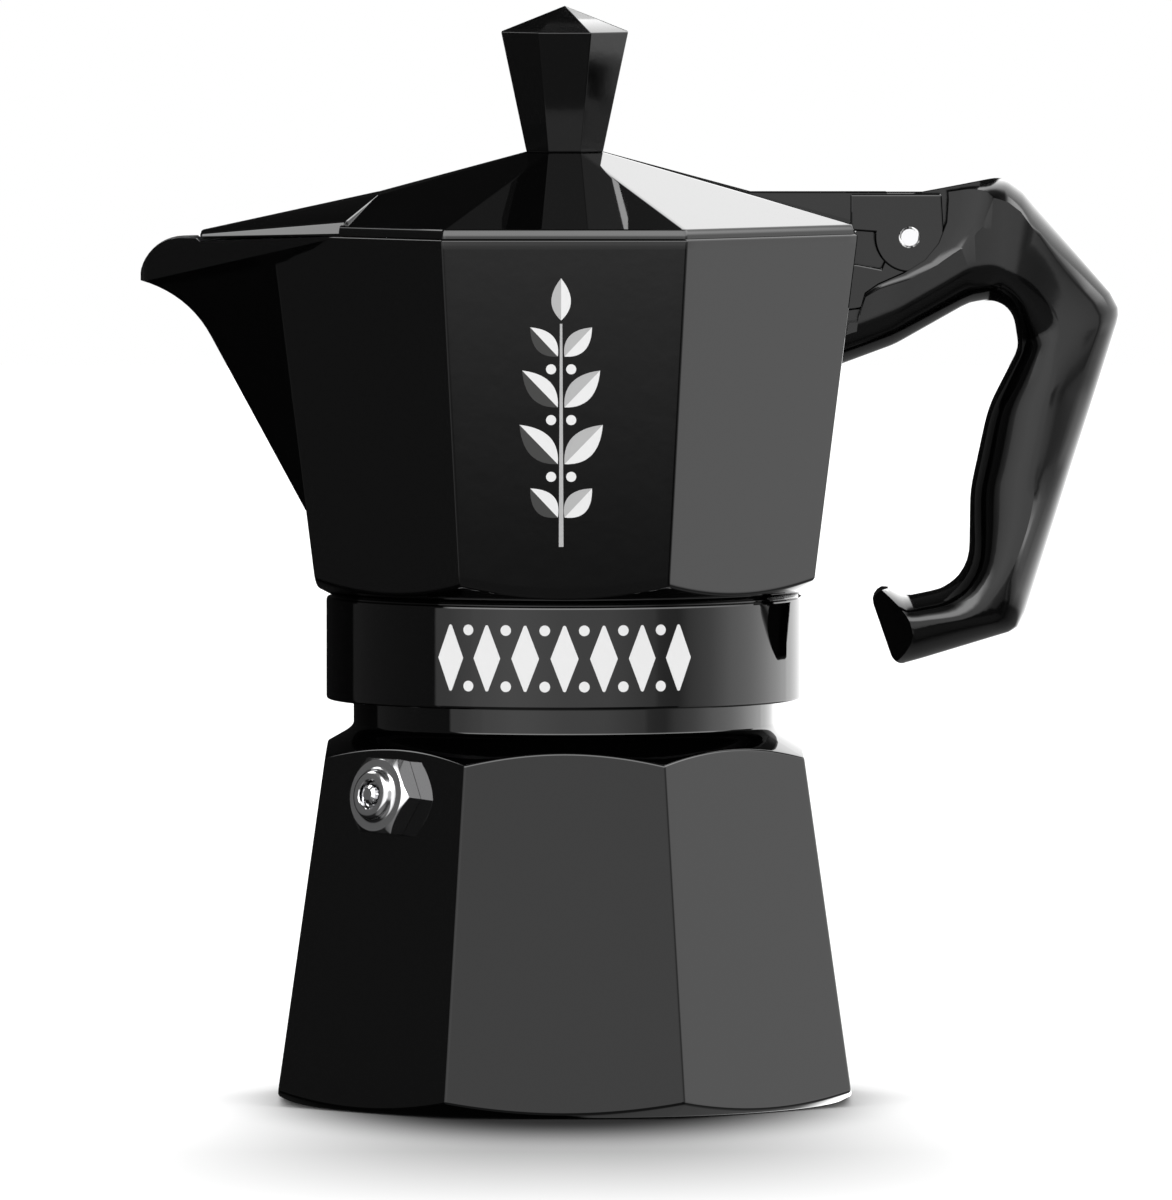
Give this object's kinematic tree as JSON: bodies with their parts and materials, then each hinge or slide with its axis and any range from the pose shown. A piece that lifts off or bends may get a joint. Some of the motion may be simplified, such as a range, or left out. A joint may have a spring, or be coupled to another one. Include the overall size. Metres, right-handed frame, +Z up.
{
  "type": "moka pot",
  "caption": "Stovetop moka pot with an octagonal boiler, a screwed-on upper chamber, V spout, hinged lid, faceted knob, side handle and safety valve.",
  "frame": {"origin": "centre of the boiler's flat base, on the pot's turning axis", "axes": "+Z up along the pot's axis, -X towards the spout, +X towards the handle, +Y to the right as seen from the handle end looking towards the spout"},
  "size_m": [0.1476, 0.088, 0.165],
  "materials": {
    "black_enamel": "glossy black enamel over cast aluminium",
    "black_plastic": "glossy moulded phenolic plastic",
    "bare_aluminium": "satin, pressed or turned",
    "chrome": "bright plated",
    "steel": "plain bright steel",
    "brass": "turned brass",
    "white_silicone": "matte moulded silicone"
  },
  "bodies": {
    "boiler": {"boiler": "black_enamel", "safety_valve_body": "chrome", "valve_guide": "chrome", "valve_spring": "steel", "funnel": "bare_aluminium", "funnel_disc": "bare_aluminium"},
    "relief_stem": {"valve_stem": "chrome", "valve_seal": "white_silicone"},
    "seal_pack": {"gasket": "white_silicone", "filter_plate": "bare_aluminium"},
    "collector": {"collector": "black_enamel", "column": "bare_aluminium", "handle": "black_plastic", "hinge_pin": "chrome"},
    "lid": {"lid": "black_enamel", "knob": "black_plastic", "knob_insert": "brass", "knob_screw": "steel", "knob_washer": "steel"}
  },
  "joints": [
    {"name": "relief_valve", "type": "slide", "parent": "boiler", "child": "relief_stem", "axis": [-0.7002, -0.7002, 0.1393], "range_m": [0, 0.0015], "stiffness_N_per_m": 1200, "springref_m": -0.001, "deforming": ["valve_spring"]},
    {"name": "collector_rise", "type": "slide", "parent": "boiler", "child": "seal_pack", "axis": [0, 0, 1], "range_m": [0, 0.009]},
    {"name": "collector_unscrew", "type": "hinge", "parent": "seal_pack", "child": "collector", "pos_m": [0, 0, 0.0605], "axis": [0, 0, 1], "range_deg": [0, 1080]},
    {"name": "lid_hinge", "type": "hinge", "parent": "collector", "child": "lid", "pos_m": [0.0519, 0, 0.1303], "axis": [0, 1, 0], "range_deg": [0, 98]}
  ],
  "couplings": [
    {"joint": "collector_rise", "follows": "collector_unscrew", "m_per_rad": 0.00047746}
  ]
}
